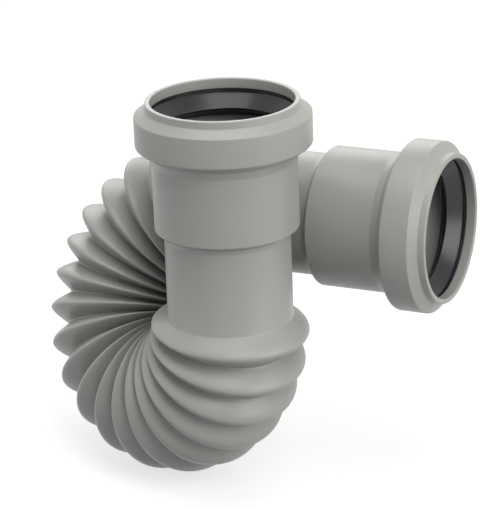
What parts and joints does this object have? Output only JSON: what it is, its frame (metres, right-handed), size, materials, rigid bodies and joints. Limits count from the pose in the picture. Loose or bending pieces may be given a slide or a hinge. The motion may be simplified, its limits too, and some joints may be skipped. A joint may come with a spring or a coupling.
{
  "type": "flexible waste pipe connector",
  "caption": "Corrugated plastic waste connector bent back on itself in a loop, with a push-fit socket and a rubber lip seal at each end for plain-ended waste pipe.",
  "frame": {"origin": "centre of the upper socket's pipe stop, on that socket's axis", "axes": "+Z along the upper socket's axis, out of its mouth; +X along the side socket's axis, out of its mouth; +Y towards the side leg, which lies behind the upper leg"},
  "size_m": [0.1642, 0.1196, 0.1596],
  "materials": {
    "grey_plastic": "satin moulded grey polypropylene",
    "black_rubber": "smooth black moulded rubber"
  },
  "bodies": {
    "root": {"connector_body": "grey_plastic", "upper_seal": "black_rubber", "side_seal": "black_rubber"}
  },
  "joints": []
}
